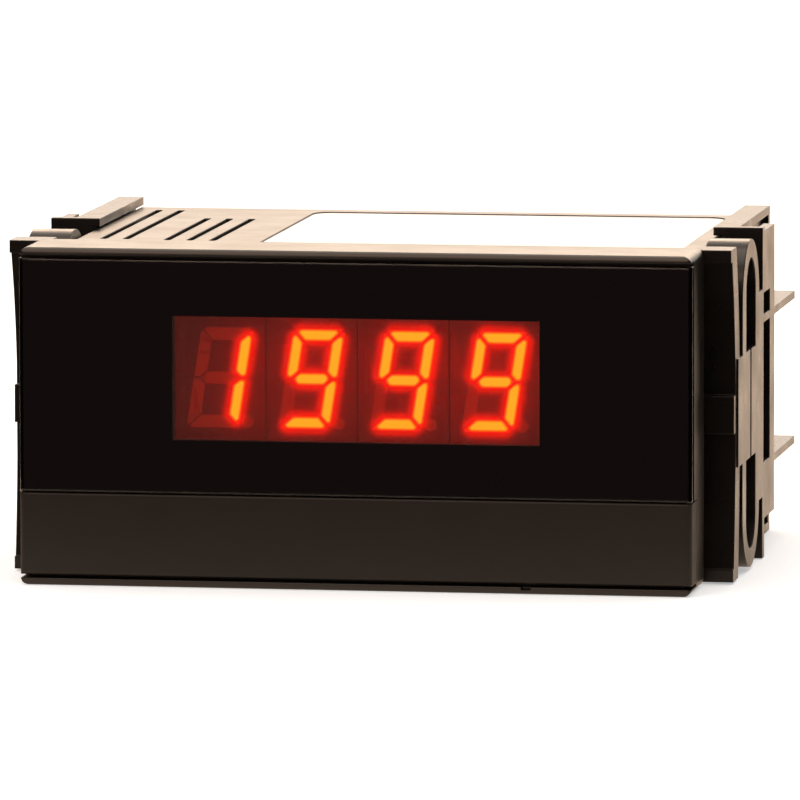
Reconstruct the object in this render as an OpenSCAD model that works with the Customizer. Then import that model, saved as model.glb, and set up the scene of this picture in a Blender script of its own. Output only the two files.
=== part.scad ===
// Digital panel meter, 96 x 48 mm front, with two clip-on side brackets.
// X runs to the right, Y from the front to the back, Z up.
// The origin is the middle of the plane in which the bezel seats on a panel.

/* [Bezel] */
// Width of the bezel
bezel_w = 96; // [95:0.5:99]
// Height of the bezel
bezel_h = 48; // [47.6:0.4:50]
// Depth of the bezel in front of the panel
bezel_d = 12.5; // [11.5:0.5:15]
// Radius of the bezel's four corners
bezel_corner_r = 1.4; // [0.8:0.2:2]
// Radius of the bezel's front edges
bezel_edge_r = 0.8; // [0.3:0.1:0.9]
// Thickness of the rims above and below the front pieces
rim_t = 1; // [0.8:0.1:1.4]
// Width of the shadow groove inside the rims
groove_w = 0.5; // [0.3:0.1:0.8]
// Distance of the front pieces behind the rims
front_inset = 0.2; // [0:0.1:0.5]
// Width of the pry notch in the lower rim
notch_w = 1.4; // [1:0.2:3]
// Place of the pry notch across the front
notch_x = 24.5; // [15:0.5:35]

/* [Lens and lower cover] */
// Thickness of the lens and of the lower cover
lens_t = 2.3; // [1.8:0.1:3]
// Height of the lower cover
cover_h = 11.65; // [10.5:0.25:13]
// Joint between the lens and the lower cover
cover_joint = 0.15; // [0.1:0.05:0.3]
// Running clearance behind the lower cover
cover_clear = 0.15; // [0.1:0.05:0.25]
// Depth of the lower cover's end cheeks
cheek_d = 4.8; // [3.5:0.1:6]
// Thickness of the end cheeks
cheek_t = 1.3; // [1:0.1:1.8]
// Reach of the cover's two legs behind the front wall
leg_reach = 1; // [0.6:0.1:2]
// Distance of each leg from the side wall's inner face
leg_inset = 23.65; // [23:0.25:24.5]

/* [Case] */
// Width of the case behind the bezel
case_w = 91.5; // [90.5:0.25:92]
// Height of the case behind the bezel
case_h = 44.8; // [44:0.2:45.2]
// Length of the case behind the panel
case_l = 65.5; // [64:0.5:80]
// Wall of the case
wall_t = 1.6; // [1.4:0.1:2]
// Radius of the case's long edges
case_r = 0.8; // [0.4:0.1:1.2]
// Width of a vent slot
vent_w = 1.1; // [0.8:0.1:1.5]
// Distance from one vent slot to the next
vent_pitch = 3.3; // [2.6:0.1:3.6]
// Length of the two outer vent slots
vent_long = 44; // [30:1:45]
// Length of the three inner vent slots
vent_short = 33; // [20:1:40]
// Pitch of the bracket teeth on the case sides
tooth_pitch = 2; // [1.6:0.1:3]
// Depth of the bracket teeth
tooth_d = 0.6; // [0.3:0.1:0.8]
// Height of the toothed band
tooth_h = 7; // [5:0.5:9]

/* [Display] */
// Width of the display window
window_w = 52.4; // [50:0.2:54]
// Height of the display window
window_h = 17.6; // [16.6:0.2:18.6]
// Height of the window's middle above the bezel's middle
window_z = 5.6; // [4:0.2:6]
// Distance from one digit to the next
digit_pitch = 13.1; // [12.8:0.1:13.3]
// Height of a digit block
digit_h = 19; // [19:0.2:20]
// Depth of a digit block
digit_d = 8; // [7.5:0.25:9]
// Height of the figure on a digit
figure_h = 14.2; // [13:0.1:15]
// Width of the figure
figure_w = 7.5; // [7:0.1:8]
// Width of a segment
segment_w = 1.75; // [1.4:0.05:2]
// Slant of the figures
figure_slant = 9; // [0:1:10]
// Depth of the segments in the block
segment_d = 1.5; // [1:0.25:3]
// Cut across the outer corners of the figures
segment_cut = 0.6; // [0.3:0.05:0.8]

/* [Boards] */
// Thickness of both circuit boards
board_t = 1.6; // [1.2:0.2:2]
// Gap between the display board's edges and the case
display_board_gap = 1.1; // [0.8:0.1:1.5]
// Height of the main board above the floor of the case
main_board_lift = 6.8; // [6:0.2:8]
// Side of a trimmer body
trimmer_w = 6.6; // [6:0.2:7]
// Depth of a trimmer body
trimmer_d = 4.8; // [4:0.2:5]
// Diameter of a trimmer's rotor
rotor_dia = 4; // [3.2:0.2:4.6]
// Length of the converter chip
chip_l = 51.6; // [48:0.2:52]
// Width of the transformer's core
core_w = 28; // [26:0.5:30]
// Height of the transformer's core
core_h = 24; // [20:0.5:26]
// Diameter of a smoothing capacitor
cap_dia = 10; // [8:0.5:10]
// Height of a smoothing capacitor
cap_h = 15.9; // [12:0.5:20]

/* [Rear] */
// Thickness of the rear cover
rear_t = 2.2; // [1.6:0.2:3]
// Pitch of the terminals
terminal_pitch = 9.5; // [9:0.25:9.75]
// Number of terminals
terminal_n = 8; // [6:1:8]
// Height of the terminal block
terminal_h = 16; // [14:0.5:17]
// Distance of the block's face behind the rear cover
terminal_face = 2.4; // [2:0.2:4]
// Height of the barriers between terminals
barrier_d = 8.4; // [7:0.2:10]
// Diameter of the terminal screws
terminal_screw_dia = 3; // [2.6:0.1:3.5]

/* [Side brackets] */
// Thickness of a bracket, out from the case side
bracket_t = 6; // [5.6:0.1:8]
// Clearance between a bracket and the case
bracket_clear = 0.3; // [0.2:0.05:0.5]
// Gap between the pressing bar's feet and the bezel
bar_gap = 0.3; // [0.2:0.1:3]
// Depth of the pressing bar
bar_d = 4.6; // [3.5:0.1:5.5]
// Distance of the bar's ends inside the bezel's height
bar_inset = 0.3; // [0.2:0.1:2]
// Forward bow of the bar's upper end
bow_top = 4.4; // [2:0.1:5]
// Forward bow of the bar's lower end
bow_bottom = 2; // [1:0.1:4]
// Height of the foot on each end of the bar
foot_d = 0.5; // [0.3:0.1:1.5]
// Distance of the bar's side inside the bracket's outer side
bar_side_inset = 0.25; // [0:0.05:0.6]
// Depth of the spring loops
loop_d = 17.4; // [16:0.2:19]
// Distance of the loops' ends inside the bezel's height
loop_inset = 0.5; // [0.3:0.1:2]
// Width of the opening in a loop
loop_hole_d = 10; // [8.4:0.2:11]
// Thickness of a loop at its end
loop_end_t = 2.6; // [2.2:0.1:3.6]
// Height of the web between the pressing bar and the loops
web_h = 15.4; // [10:0.2:17]
// Gap between the loops and the channel
loop_gap = 3.8; // [2:0.2:5]
// Height of the web between the loops and the channel
rear_web_h = 30; // [22:0.5:34]
// Length of the bracket's channel along the case
channel_l = 34; // [32:0.5:37]
// Thickness of the channel's walls
channel_t = 1.6; // [1.2:0.1:2]
// Thickness of the channel's upper and lower lips
lip_t = 1.2; // [0.8:0.1:1.3]
// Distance of the lips' outer edges inside the outer plate
lip_inset = 3.5; // [2:0.25:4]
// Reach of the lips over the case
lip_reach = 0.85; // [0.6:0.05:1.5]
// Length of the outer plate
plate_l = 12.8; // [11:0.2:15]
// Distance of the plate's upper edge inside the bezel's height
plate_top_inset = 0.7; // [0.5:0.1:3]
// Distance of the plate's lower edge inside the bezel's height
plate_bottom_inset = 5.7; // [3:0.1:7]
// Height of the plate's slot above the upper rib
plate_slot_h = 3.2; // [1:0.2:5]
// Length of the two ribs behind the spring
rib_l = 35.4; // [34.4:0.5:42.4]
// Distance between the middles of the ribs
rib_span = 21.4; // [18:0.2:24]
// Thickness of a rib
rib_t = 1.1; // [0.8:0.1:1.6]

/* [Label] */
// Gap between the blank label and the vents
label_gap = 6.85; // [4:0.25:12]
// Gap between the blank label and the case's right edge
label_inset = 3.15; // [2:0.25:6]
// Length of the blank label
label_l = 56; // [40:0.5:56]
// Thickness of the blank label
label_t = 0.15; // [0.1:0.05:0.2]
// Depth of the label's recess in the case
label_recess = 0.3; // [0.2:0.05:0.5]
// Gap around the label in its recess
label_clear = 0.25; // [0.1:0.05:0.4]

/* [Hidden] */
$fn = 48;
eps = 0.01;
front_y = -bezel_d;
recess_z = bezel_h / 2 - rim_t;
lens_top = recess_z - groove_w;
lens_y = front_y + front_inset;
front_wall_y = lens_y + lens_t;
front_wall_t = 1.6;
inner_y = front_wall_y + front_wall_t;
cover_z0 = -lens_top;
cover_z1 = cover_z0 + cover_h;
lens_z0 = cover_z1 + cover_joint;
front_edge_r = 0.3;
leg_w = 4;
leg_t = 1.2;
leg_z = cover_z0 + 5.4;
notch_d = 1.2;
notch_h = 0.4;
inner_w = case_w - 2 * wall_t;
inner_h = case_h - 2 * wall_t;
leg_x = inner_w / 2 - leg_inset;
vent_long_x = -case_w / 2 + 4.15;
vent_long_n = 2;
vent_long_end = case_l - 4.2;
vent_short_x = -case_w / 2 + 13.55;
vent_short_n = 3;
vent_short_end = case_l - 15.8;
tooth_y0 = 8;
tooth_n = floor((case_l - 4 - tooth_y0) / tooth_pitch);

digit_n = 4;
digit_gap = 0.2;
digit_w = digit_pitch - digit_gap;
digit_front = inner_y + 0.1;
digit_back = digit_front + digit_d;
segment_joint = 0.22;
pocket_clear = 0.03;
dot_r = 0.8;
dot_x = figure_w / 2 + 1.15;

display_board_w = inner_w - 3;
display_board_h = inner_h - 2 * display_board_gap;
main_board_w = inner_w - 0.5;
main_board_y = digit_back + board_t + 0.2;
main_board_l = case_l - rear_t - 3 - main_board_y;
main_board_z = -inner_h / 2 + main_board_lift;
main_top = main_board_z + board_t;
board_left = -main_board_w / 2;
rail_w = 1.5;
rail_t = 1.2;
rail_clear = 0.15;
post_dia = 6;
post_x = display_board_w / 2 - 5;
post_z = display_board_h / 2 - 2.8;
screw_dia = 2.2;
screw_clear = 0.05;
screw_head_dia = 4.4;
screw_head_h = 1.6;
screw_l = 6;
trimmer_z = -display_board_h / 2 + 4.1;
trimmer_offset = 6.5;
trimmer_xs = [leg_x - trimmer_offset, leg_x + trimmer_offset];
rotor_l = 2.6;
rotor_proud = 0.5;
rotor_clear = 0.06;
access_dia = rotor_dia + 1.6;

header_n = 20;
header_pitch = 2.54;
header_h = 2.5;
header_y = main_board_y + 0.6;
header_pin = 0.64;
chip_w = 13.6;
chip_t = 3.8;
chip_lift = 0.6;
chip_leg_n = 20;
chip_leg_w = 0.5;
chip_leg_t = 0.3;
chip_shoulder_w = 1.2;
chip_span = 15.24;
chip_dot_dia = 3;
chip_edge = 4.1;
chip_gap = 0.48;
chip_x = board_left + chip_edge + chip_l / 2;
chip_y = header_y + header_h + chip_gap + chip_span / 2;

rear_y = case_l - rear_t;
rear_clear = 0.2;
rear_w = inner_w - 2 * rear_clear;
rear_h = inner_h - 2 * rear_clear;
boss_dia = 6;
boss_l = 12;
boss_x = inner_w / 2 - boss_dia / 2;
boss_z = inner_h / 2 - boss_dia / 2;

barrier_t = 1.4;
block_w = terminal_n * terminal_pitch + barrier_t;
block_z = main_top + terminal_h / 2;
block_back = case_l + terminal_face;
block_front = rear_y - 6;
block_clear = 0.2;
pocket_w = terminal_pitch - barrier_t;
clamp_w = pocket_w - 0.8;
clamp_t = 0.8;
terminal_head_dia = terminal_screw_dia * 1.85;
terminal_head_h = 2.2;
terminal_screw_l = 7;
pin_w = 1;
pin_clear = 0.3;
pin_y = block_front + 1.6;
pin_below = 2;

core_d = 12;
core_leg = 8;
core_yoke = 4.5;
core_edge = 2.9;
core_ahead = 16.3;
core_x = main_board_w / 2 - core_edge - core_w / 2;
core_y = block_front - core_ahead;
coil_clear = 0.15;
coil_build = 5.1;
cap_x = -7;
cap_gap = 1.5;
cap_ahead = 24.3;
cap_xs = [cap_x, cap_x + cap_dia + cap_gap];
cap_y = block_front - cap_ahead;
cap_rim = 0.7;
film_n = 3;
film_pitch = 9;
film_w = 7.2;
film_d = 2.8;
film_h = 6.6;
film_edge = 6.9;
film_ahead = 27.3;
film_x = board_left + film_edge;
film_y = block_front - film_ahead;
resistor_n = 5;
resistor_pitch = 5;
resistor_dia = 2.4;
resistor_l = 6.4;
resistor_lift = 1.6;
resistor_edge = 5.9;
resistor_ahead = 15.1;
resistor_x = board_left + resistor_edge;
resistor_y = block_front - resistor_ahead;
lead_dia = 0.6;
lead_span = 10.4;
regulator_w = 10;
regulator_d = 4.4;
regulator_h = 9;
regulator_tab_t = 1.3;
regulator_tab_h = 15;
regulator_lift = 3;
regulator_leg = 0.6;
regulator_x = -7;
regulator_y = block_front - 5.1;

bracket_x = case_w / 2 + bracket_clear;
bracket_out = bracket_x + bracket_t;
bar_h = bezel_h - 2 * bar_inset;
bar_y = bar_gap + foot_d + max(bow_top, bow_bottom);
pad_d = 1.8;
pad_h = 5.4;
foot_h = 1.8;
bar_out = bracket_out - bar_side_inset;
loop_h = bezel_h - 2 * loop_inset;
loop_y = bar_y + bar_d + 0.8;
loop_c = loop_y + loop_d / 2;
slit_w = 1.2;
channel_y = loop_y + loop_d + loop_gap;
channel_back = channel_y + channel_l;
channel_z = case_h / 2 + bracket_clear;
lip_out = bracket_out - lip_inset;
front_wall_d = 2;
plate_t = channel_t;
plate_top = bezel_h / 2 - plate_top_inset;
plate_bottom = plate_bottom_inset - bezel_h / 2;
plate_window_y = channel_y + 0.4;
plate_window_l = 7.4;
rib_in = rib_span / 2 - rib_t / 2;
rib_out = rib_span / 2 + rib_t / 2;
end_wall_t = 1.6;
tongue_h = 8;
tongue_l = 22;
tongue_slot = 1;
tongue_y = channel_y + 5;
pawl_l = 1.6;
pawl_d = 0.15;
grip_d = 2.6;
grip_l = 1.6;

label_corner = 2.6;
label_back = case_l - 3.6;
label_x0 = vent_short_x + (vent_short_n - 1) * vent_pitch + vent_w / 2 + label_gap;
label_w = case_w / 2 - label_inset - label_x0;

// Colours
black = [0.06, 0.055, 0.055];
soft_black = [0.13, 0.115, 0.105];
smoked = [0.04, 0.03, 0.03];
dark_red = [0.22, 0.06, 0.04];
lit_orange = [1, 0.42, 0.06];
board_green = [0.07, 0.3, 0.16];
steel = [0.72, 0.72, 0.7];
copper = [0.7, 0.38, 0.2];
blue = [0.1, 0.25, 0.6];
label_white = [0.95, 0.95, 0.94];

// A rectangle in the X-Y plane with rounded corners, middle at the origin
module round_rect(w, h, r) {
    union() {
        square([w - 2 * r, h], center = true);
        square([w, h - 2 * r], center = true);
        for (sx = [-1, 1], sy = [-1, 1])
            translate([sx * (w / 2 - r), sy * (h / 2 - r)]) circle(r);
    }
}

// Stands a flat X-Z drawing up and extrudes it from y0 to y1
module along_y(y0, y1) {
    translate([0, y1, 0]) rotate([90, 0, 0]) linear_extrude(y1 - y0) children();
}

// Stands a flat Y-Z drawing up and extrudes it from x0 to x1
module along_x(x0, x1) {
    translate([x0, 0, 0]) rotate([90, 0, 90]) linear_extrude(x1 - x0) children();
}

// A box from its lowest to its highest corner
module block(a, b) {
    translate(a) cube([b[0] - a[0], b[1] - a[1], b[2] - a[2]]);
}

// A round bar along Y
module bar_along_y(x, z, y0, y1, dia) {
    translate([x, y0, z]) rotate([-90, 0, 0]) cylinder(h = y1 - y0, d = dia);
}

// A rectangle of depth and width with its two front corners rounded
module nose(y0, y1, v0, v1, r) {
    translate([y0 + r, v0]) square([y1 - y0 - r, v1 - v0]);
    translate([y0, v0 + r]) square([2 * r, v1 - v0 - 2 * r]);
    for (v = [v0 + r, v1 - r]) translate([y0 + r, v]) circle(r);
}

// The bezel's plan form between two heights, with rounded upright front edges
module plan_form(y0, y1, z0, z1) {
    translate([0, 0, z0]) linear_extrude(z1 - z0) mirror([1, -1])
        nose(y0, y1, -bezel_w / 2, bezel_w / 2, bezel_edge_r);
}

module bezel_form() {
    intersection() {
        along_y(front_y, 0) round_rect(bezel_w, bezel_h, bezel_corner_r);
        plan_form(front_y, 0, -bezel_h, bezel_h);
        along_x(-bezel_w, bezel_w)
            nose(front_y, 0, -bezel_h / 2, bezel_h / 2, bezel_edge_r);
    }
}

// One vent slot through the top or the bottom wall
module vent(x, y1, l, side) {
    z = side * (case_h / 2 - wall_t / 2);
    translate([x, y1 - l / 2, z - wall_t]) linear_extrude(2 * wall_t)
        round_rect(vent_w, l, vent_w / 2 - eps);
}

module vents() {
    for (side = [-1, 1]) {
        for (i = [0:vent_long_n - 1])
            vent(vent_long_x + i * vent_pitch, vent_long_end, vent_long, side);
        for (i = [0:vent_short_n - 1])
            vent(vent_short_x + i * vent_pitch, vent_short_end, vent_short, side);
    }
}

// Saw teeth cut into the right side of the case
module tooth_cut() {
    x = case_w / 2;
    saw = [for (i = [0:tooth_n - 1]) each [
        [x, tooth_y0 + i * tooth_pitch],
        [x - tooth_d, tooth_y0 + (i + 1) * tooth_pitch]
    ]];
    last = tooth_y0 + tooth_n * tooth_pitch;
    translate([0, 0, -tooth_h / 2]) linear_extrude(tooth_h)
        polygon(concat(saw, [[x, last], [x + 1, last], [x + 1, tooth_y0]]));
}

// The label's outline from a height up, widened all round by a clearance
module label_form(z, h, clear) {
    translate([label_x0 + label_w / 2, label_back - label_l / 2, z]) linear_extrude(h)
        round_rect(label_w + 2 * clear, label_l + 2 * clear, label_corner + clear);
}

// Room for the lens and the lower cover with its cheeks
module front_recess() {
    block([-bezel_w, front_y - 1, -recess_z], [bezel_w, front_wall_y, recess_z]);
    for (s = [0, 1]) mirror([s, 0, 0])
        block([bezel_w / 2 - cheek_t - cover_clear, front_y - 1, -recess_z],
              [bezel_w, lens_y + cheek_d + cover_clear, lens_z0]);
}

module housing() color(black) {
    difference() {
        union() {
            bezel_form();
            along_y(front_wall_y, case_l) round_rect(case_w, case_h, case_r);
        }
        front_recess();
        along_y(inner_y, case_l + 1) round_rect(inner_w, inner_h, case_r / 2);
        block([-window_w / 2, front_y, window_z - window_h / 2],
              [window_w / 2, inner_y + 1, window_z + window_h / 2]);
        for (x = trimmer_xs) bar_along_y(x, trimmer_z, front_y, inner_y + 1, access_dia);
        for (s = [-1, 1])
            block([s * leg_x - leg_w / 2 - cover_clear, front_y, leg_z - leg_t / 2 - cover_clear],
                  [s * leg_x + leg_w / 2 + cover_clear, inner_y + 1, leg_z + leg_t / 2 + cover_clear]);
        block([notch_x - notch_w / 2, front_y - 1, -recess_z - notch_h],
              [notch_x + notch_w / 2, front_y + notch_d, -recess_z + eps]);
        vents();
        label_form(case_h / 2 - label_recess, wall_t, label_clear);
        for (s = [0, 1]) mirror([s, 0, 0]) tooth_cut();
    }
    board_posts();
    board_rails();
    rear_bosses();
}

// Posts behind the front wall that carry the display board
module board_posts() {
    for (sx = [-1, 1], sz = [-1, 1]) difference() {
        bar_along_y(sx * post_x, sz * post_z, inner_y - front_wall_t / 2, digit_back, post_dia);
        bar_along_y(sx * post_x, sz * post_z, digit_back - screw_l, digit_back + 1,
                    screw_dia + 2 * screw_clear);
    }
}

// Ledges along both side walls that guide the main board
module board_rails() {
    x0 = inner_w / 2 - rail_w;
    y0 = main_board_y + 3;
    y1 = main_board_y + main_board_l;
    for (s = [0, 1]) mirror([s, 0, 0]) {
        block([x0, y0, main_board_z - rail_clear - rail_t],
              [inner_w / 2 + wall_t / 2, y1, main_board_z - rail_clear]);
        block([x0, y0, main_top + rail_clear],
              [inner_w / 2 + wall_t / 2, y1, main_top + rail_clear + rail_t]);
    }
}

// Corner bosses for the rear cover's screws
module rear_bosses() {
    for (sx = [-1, 1], sz = [-1, 1]) difference() {
        intersection() {
            union() {
                bar_along_y(sx * boss_x, sz * boss_z, rear_y - boss_l, rear_y, boss_dia);
                translate([sx * (boss_x + boss_dia / 2), rear_y - boss_l / 2, sz * (boss_z + boss_dia / 2)])
                    cube([boss_dia + wall_t, boss_l, boss_dia + wall_t], center = true);
            }
            along_y(0, rear_y) round_rect(inner_w + wall_t, inner_h + wall_t, case_r);
        }
        bar_along_y(sx * boss_x, sz * boss_z, rear_y - boss_l + 2, rear_y + 1,
                    screw_dia + 2 * screw_clear);
    }
}

module front_lens() color(smoked) {
    intersection() {
        along_x(-bezel_w, bezel_w) nose(lens_y, front_wall_y, lens_z0, lens_top, front_edge_r);
        plan_form(lens_y, 0, -bezel_h, bezel_h);
    }
}

module lower_cover() color(soft_black) {
    back = front_wall_y - cover_clear;
    intersection() {
        union() {
            along_x(-bezel_w, bezel_w) nose(lens_y, back, cover_z0, cover_z1, front_edge_r);
            for (s = [0, 1]) mirror([s, 0, 0])
                block([bezel_w / 2 - cheek_t, lens_y + 1, cover_z0], [bezel_w, lens_y + cheek_d, cover_z1]);
        }
        plan_form(lens_y, 0, -bezel_h, bezel_h);
    }
    for (s = [-1, 1])
        block([s * leg_x - leg_w / 2, back - 1, leg_z - leg_t / 2],
              [s * leg_x + leg_w / 2, inner_y + leg_reach, leg_z + leg_t / 2]);
}

// ---- Display ----

function digit_x(i) = (i - (digit_n - 1) / 2) * digit_pitch;
function slanted(p) = [p[0] + p[1] * tan(figure_slant), p[1]];

// Outlines of the bars a to g of an upright figure, in the usual order
function bar_outline(k) =
    let (x = figure_w / 2, z = figure_h / 2, t = segment_w, j = segment_joint * 0.7, c = segment_cut)
    k == 0 ? [[c - x, z], [x - c, z], [x - c / 2 - j, z - c / 2], [x - t - j, z - t],
              [t + j - x, z - t], [c / 2 + j - x, z - c / 2]] :
    k == 1 ? [[x, z - c], [x - c / 2, z - c / 2 - j], [x - t, z - t - j],
              [x - t, t / 2 + j], [x - t / 2, j], [x, j]] :
    k == 2 ? [for (p = bar_outline(1)) [p[0], -p[1]]] :
    k == 3 ? [for (p = bar_outline(0)) [p[0], -p[1]]] :
    k == 4 ? [for (p = bar_outline(2)) [-p[0], p[1]]] :
    k == 5 ? [for (p = bar_outline(1)) [-p[0], p[1]]] :
    [[t / 2 + j - x, 0], [t + j - x, t / 2], [x - t - j, t / 2],
     [x - t / 2 - j, 0], [x - t - j, -t / 2], [t + j - x, -t / 2]];

// Bars lit on each of the four digits, which together read 1999
lit_bars = [[1, 2], [0, 1, 2, 3, 5, 6], [0, 1, 2, 3, 5, 6], [0, 1, 2, 3, 5, 6]];

module segment(k) {
    polygon([for (p = bar_outline(k)) slanted(p)]);
}

module dot(r) {
    translate(slanted([dot_x, -figure_h / 2 + dot_r])) circle(r);
}

module led_digit(i) color(dark_red) {
    difference() {
        block([digit_x(i) - digit_w / 2, digit_front, window_z - digit_h / 2],
              [digit_x(i) + digit_w / 2, digit_back, window_z + digit_h / 2]);
        translate([digit_x(i), 0, window_z]) along_y(digit_front - 1, digit_front + segment_d) {
            for (k = [0:6]) segment(k);
            dot(dot_r + pocket_clear);
        }
    }
}

module lit_segments(i) color(lit_orange) {
    translate([digit_x(i), 0, window_z]) along_y(digit_front, digit_front + segment_d)
        for (k = lit_bars[i]) segment(k);
}

module dark_segments(i) color(dark_red) {
    translate([digit_x(i), 0, window_z]) along_y(digit_front, digit_front + segment_d) {
        for (k = [0:6]) if (len(search(k, lit_bars[i])) == 0) segment(k);
        dot(dot_r);
    }
}

module display_board() color(board_green) {
    difference() {
        along_y(digit_back, digit_back + board_t) round_rect(display_board_w, display_board_h, 1);
        for (sx = [-1, 1], sz = [-1, 1])
            bar_along_y(sx * post_x, sz * post_z, digit_back - 1, digit_back + board_t + 1,
                        screw_dia + 0.4);
    }
}

// A pan head screw driven from behind, its head seated at y
module board_screw(x, z, y, l) {
    difference() {
        union() {
            bar_along_y(x, z, y - l, y + eps, screw_dia);
            bar_along_y(x, z, y, y + screw_head_h, screw_head_dia);
        }
        for (a = [0, 90]) translate([x, y + screw_head_h, z]) rotate([0, a, 0])
            cube([0.6, screw_head_h, screw_head_dia * 0.6], center = true);
    }
}

module display_board_screws() color(steel) {
    for (sx = [-1, 1], sz = [-1, 1])
        board_screw(sx * post_x, sz * post_z, digit_back + board_t, screw_l);
}

module trimmer_body(x) color(blue) {
    difference() {
        block([x - trimmer_w / 2, digit_back - trimmer_d, trimmer_z - trimmer_w / 2],
              [x + trimmer_w / 2, digit_back, trimmer_z + trimmer_w / 2]);
        bar_along_y(x, trimmer_z, digit_back - trimmer_d - 1,
                    digit_back - trimmer_d - rotor_proud + rotor_l + 0.1, rotor_dia + 2 * rotor_clear);
    }
}

module trimmer_rotor(x) color(steel) {
    y0 = digit_back - trimmer_d - rotor_proud;
    difference() {
        bar_along_y(x, trimmer_z, y0, y0 + rotor_l, rotor_dia);
        for (a = [0, 90]) translate([x, y0, trimmer_z]) rotate([0, a, 0])
            cube([0.6, 1.6, rotor_dia * 0.7], center = true);
    }
}

// ---- Main board ----

module main_board() color(board_green) {
    difference() {
        block([-main_board_w / 2, main_board_y, main_board_z],
              [main_board_w / 2, main_board_y + main_board_l, main_top]);
        for (i = [0:terminal_n - 1]) translate([terminal_x(i), pin_y, main_board_z - 1])
            cylinder(h = board_t + 2, d = pin_w * sqrt(2) + pin_clear);
    }
}

module board_header() color(black) {
    block([-header_n * header_pitch / 2, header_y, main_top],
          [header_n * header_pitch / 2, header_y + header_h, main_top + header_h]);
    for (i = [0:header_n - 1]) {
        x = (i - (header_n - 1) / 2) * header_pitch;
        block([x - header_pin / 2, digit_back + board_t, main_top + (header_h - header_pin) / 2],
              [x + header_pin / 2, header_y + header_h / 2, main_top + (header_h + header_pin) / 2]);
    }
}

// A leg of the chip: side 1 is the back row, side -1 the front row
module chip_leg(x, side) {
    y = chip_y + side * chip_span / 2;
    body_y = chip_y + side * (chip_w / 2 - 0.5);
    z1 = main_top + chip_lift + chip_t / 2;
    block([x - chip_shoulder_w / 2, min(body_y, y - chip_leg_t / 2), z1 - chip_leg_t],
          [x + chip_shoulder_w / 2, max(body_y, y + chip_leg_t / 2), z1]);
    block([x - chip_leg_w / 2, y - chip_leg_t / 2, main_top], [x + chip_leg_w / 2, y + chip_leg_t / 2, z1]);
}

module converter_chip() color(black) {
    z0 = main_top + chip_lift;
    difference() {
        block([chip_x - chip_l / 2, chip_y - chip_w / 2, z0],
              [chip_x + chip_l / 2, chip_y + chip_w / 2, z0 + chip_t]);
        translate([chip_x - chip_l / 2, chip_y, z0 + chip_t - 0.6]) cylinder(h = 1, d = chip_dot_dia);
    }
    for (side = [-1, 1], i = [0:chip_leg_n - 1])
        chip_leg(chip_x + (i - (chip_leg_n - 1) / 2) * header_pitch, side);
}

module transformer_core() color(steel) {
    window_w = core_w / 2 - core_yoke - core_leg / 2;
    difference() {
        block([core_x - core_w / 2, core_y - core_d / 2, main_top],
              [core_x + core_w / 2, core_y + core_d / 2, main_top + core_h]);
        for (s = [-1, 1]) translate([core_x + s * (core_leg + window_w) / 2, core_y, main_top + core_h / 2])
            cube([window_w, 2 * core_d, core_h - 2 * core_yoke], center = true);
    }
}

module transformer_winding() color(copper) {
    z0 = main_top + core_yoke + coil_clear;
    translate([core_x, core_y, z0]) linear_extrude(core_h - 2 * core_yoke - 2 * coil_clear)
        difference() {
            round_rect(core_leg + 2 * coil_build, core_d + 2 * coil_build, 2);
            square([core_leg + 2 * coil_clear, core_d + 2 * coil_clear], center = true);
        }
}

module smoothing_capacitors() color(blue) {
    for (x = cap_xs) translate([x, cap_y, main_top]) {
        cylinder(h = cap_h - 0.5, d = cap_dia);
        cylinder(h = cap_h, d = cap_dia - 2 * cap_rim);
    }
}

module film_capacitors() color(copper) {
    for (i = [0:film_n - 1]) translate([film_x + i * film_pitch, film_y, main_top])
        linear_extrude(film_h) round_rect(film_w, film_d, 0.5);
}

module resistors() color(blue) {
    z = main_top + resistor_lift;
    for (i = [0:resistor_n - 1]) {
        x = resistor_x + i * resistor_pitch;
        bar_along_y(x, z, resistor_y - resistor_l / 2, resistor_y + resistor_l / 2, resistor_dia);
        bar_along_y(x, z, resistor_y - lead_span / 2, resistor_y + lead_span / 2, lead_dia);
        for (side = [-1, 1])
            translate([x, resistor_y + side * (lead_span / 2 - lead_dia / 2 - 0.1), main_top])
                cylinder(h = resistor_lift, d = lead_dia + 0.1);
    }
}

module voltage_regulator() color(black) {
    x0 = regulator_x - regulator_w / 2;
    x1 = regulator_x + regulator_w / 2;
    y0 = regulator_y - regulator_d / 2;
    y1 = regulator_y + regulator_d / 2;
    z0 = main_top + regulator_lift;
    block([x0, y0, z0], [x1, y1, z0 + regulator_h]);
    difference() {
        block([x0, y1 - regulator_tab_t, z0], [x1, y1, z0 + regulator_tab_h]);
        bar_along_y(regulator_x, z0 + regulator_tab_h - 3, y0, y1 + 1, 3.6);
    }
    for (i = [-1:1]) {
        x = regulator_x + i * header_pitch;
        block([x - regulator_leg / 2, regulator_y - regulator_leg / 2, main_top],
              [x + regulator_leg / 2, regulator_y + regulator_leg / 2, z0 + 1]);
    }
}

// ---- Rear ----

function terminal_x(i) = (i - (terminal_n - 1) / 2) * terminal_pitch;

module terminal_block() color([0.1, 0.1, 0.11]) {
    z0 = block_z - terminal_h / 2;
    z1 = block_z + terminal_h / 2;
    difference() {
        union() {
            block([-block_w / 2, block_front, z0], [block_w / 2, block_back, z1]);
            for (i = [0:terminal_n]) {
                x = terminal_x(i) - terminal_pitch / 2;
                block([x - barrier_t / 2, block_back - 1, z0],
                      [x + barrier_t / 2, block_back + barrier_d, z1]);
            }
        }
        for (i = [0:terminal_n - 1])
            bar_along_y(terminal_x(i), block_z, block_back - terminal_screw_l, block_back + 1,
                        terminal_screw_dia + 2 * screw_clear);
    }
}

module terminal_legs() color(steel) {
    z0 = main_board_z - pin_below;
    for (i = [0:terminal_n - 1])
        block([terminal_x(i) - pin_w / 2, pin_y - pin_w / 2, z0],
              [terminal_x(i) + pin_w / 2, pin_y + pin_w / 2, main_top]);
}

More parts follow.
